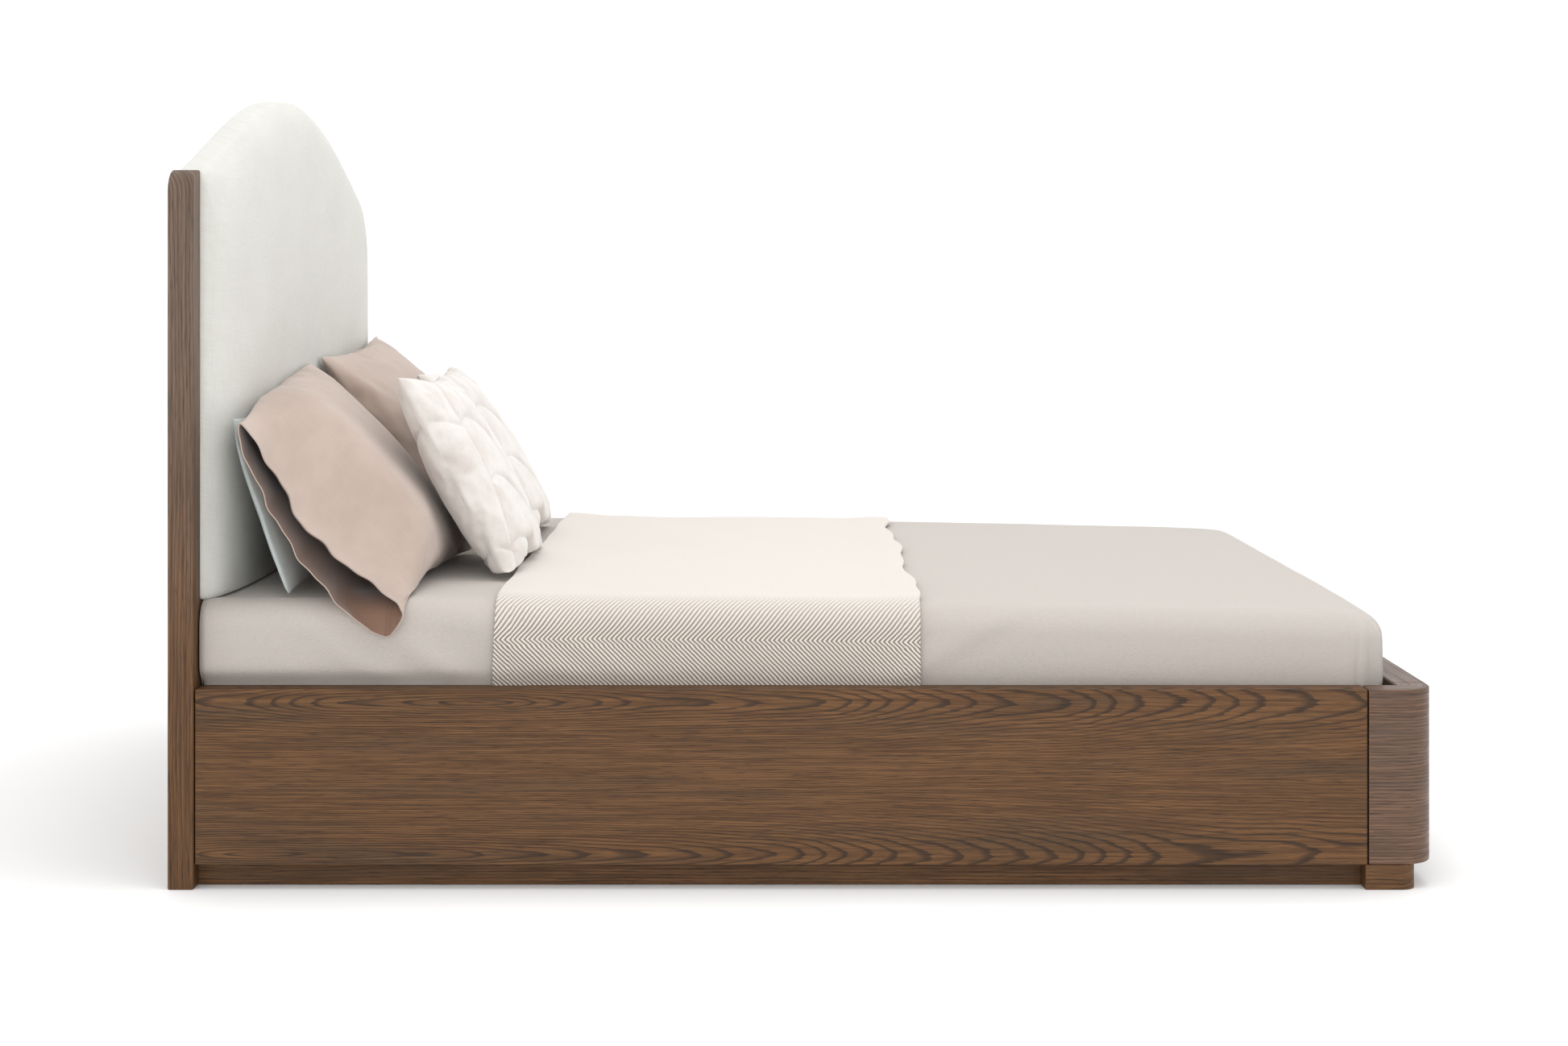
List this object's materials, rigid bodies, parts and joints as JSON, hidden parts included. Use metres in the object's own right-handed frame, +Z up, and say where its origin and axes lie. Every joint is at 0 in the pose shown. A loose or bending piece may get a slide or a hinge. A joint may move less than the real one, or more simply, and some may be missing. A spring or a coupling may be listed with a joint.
{
  "type": "upholstered platform bed",
  "caption": "Queen platform bed with an arched upholstered headboard between wooden posts, a low rounded footboard, slatted base, mattress and layered bedding.",
  "frame": {"origin": "on the floor under the middle of the bed's bounding box", "axes": "+X from the headboard to the footboard, +Y across the bed, +Z up"},
  "size_m": [2.15, 1.63, 1.392],
  "materials": {
    "stained_oak": "satin brown stain, open grain",
    "plain_timber": "sawn and planed, unfinished",
    "plywood": "sanded plywood",
    "black_steel": "black powder coat",
    "zinc_bolt": "zinc plated",
    "black_plastic": "moulded matte",
    "headboard_linen": "plain woven linen blend",
    "dust_cloth": "non-woven cambric",
    "mattress_ticking": "quilted knit",
    "blanket_weave": "fine twill cotton",
    "throw_herringbone": "herringbone weave in taupe and cream",
    "sham_cotton": "washed cotton, pale pink beige",
    "blue_cotton": "washed cotton, pale grey blue",
    "cushion_velvet": "quilted soft white plush"
  },
  "bodies": {
    "frame": {"beam_hanger_foot": "black_steel", "beam_hanger_head": "black_steel", "blanket": "blanket_weave", "centre_beam": "plain_timber", "centre_leg_1": "plain_timber", "centre_leg_2": "plain_timber", "centre_leg_3": "plain_timber", "corner_bolt_foot_far": "zinc_bolt", "corner_bolt_foot_near": "zinc_bolt", "corner_bolt_head_far": "zinc_bolt", "corner_bolt_head_near": "zinc_bolt", "corner_bracket_foot_far": "black_steel", "corner_bracket_foot_near": "black_steel", "corner_bracket_head_far": "black_steel", "corner_bracket_head_near": "black_steel", "foot_block_far": "stained_oak", "foot_block_near": "stained_oak", "foot_plinth": "stained_oak", "footboard_corner_far": "stained_oak", "footboard_corner_near": "stained_oak", "footboard_end": "stained_oak", "headboard_cleat_far": "plain_timber", "headboard_cleat_near": "plain_timber", "headboard_dust_cover": "dust_cloth", "headboard_lower_panel": "stained_oak", "headboard_pad": "headboard_linen", "headboard_panel": "plywood", "headboard_post_far": "stained_oak", "headboard_post_near": "stained_oak", "headboard_stretcher": "plain_timber", "mattress": "mattress_ticking", "side_plinth_far": "stained_oak", "side_plinth_near": "stained_oak", "side_rail_far": "stained_oak", "side_rail_near": "stained_oak", "slat_01": "plain_timber", "slat_02": "plain_timber", "slat_03": "plain_timber", "slat_04": "plain_timber", "slat_05": "plain_timber", "slat_06": "plain_timber", "slat_07": "plain_timber", "slat_08": "plain_timber", "slat_09": "plain_timber", "slat_10": "plain_timber", "slat_11": "plain_timber", "slat_12": "plain_timber", "slat_13": "plain_timber", "slat_ledger_far": "plain_timber", "slat_ledger_near": "plain_timber", "throw": "throw_herringbone"},
    "pillow_blue": {"pillow_blue": "blue_cotton"},
    "sham_near": {"sham_near": "sham_cotton"},
    "sham_far": {"sham_far": "sham_cotton"},
    "cushion_near": {"cushion_near": "cushion_velvet"},
    "cushion_far": {"cushion_far": "cushion_velvet"},
    "leveller_1": {"centre_leg_leveller_1": "black_plastic"},
    "leveller_2": {"centre_leg_leveller_2": "black_plastic"},
    "leveller_3": {"centre_leg_leveller_3": "black_plastic"}
  },
  "joints": [
    {"name": "pillow_blue_lift", "type": "slide", "parent": "frame", "child": "pillow_blue", "axis": [0, 0, 1], "range_m": [0, 0.2]},
    {"name": "sham_near_lift", "type": "slide", "parent": "pillow_blue", "child": "sham_near", "axis": [0, 0, 1], "range_m": [0, 0.25]},
    {"name": "cushion_near_lift", "type": "slide", "parent": "sham_near", "child": "cushion_near", "axis": [0, 0, 1], "range_m": [0, 0.3]},
    {"name": "sham_far_lift", "type": "slide", "parent": "frame", "child": "sham_far", "axis": [0, 0, 1], "range_m": [0, 0.25]},
    {"name": "cushion_far_lift", "type": "slide", "parent": "sham_far", "child": "cushion_far", "axis": [0, 0, 1], "range_m": [0, 0.3]},
    {"name": "leveller_1_adjust", "type": "slide", "parent": "frame", "child": "leveller_1", "axis": [0, 0, 1], "range_m": [0, 0.01]},
    {"name": "leveller_2_adjust", "type": "slide", "parent": "frame", "child": "leveller_2", "axis": [0, 0, 1], "range_m": [0, 0.01]},
    {"name": "leveller_3_adjust", "type": "slide", "parent": "frame", "child": "leveller_3", "axis": [0, 0, 1], "range_m": [0, 0.01]}
  ]
}
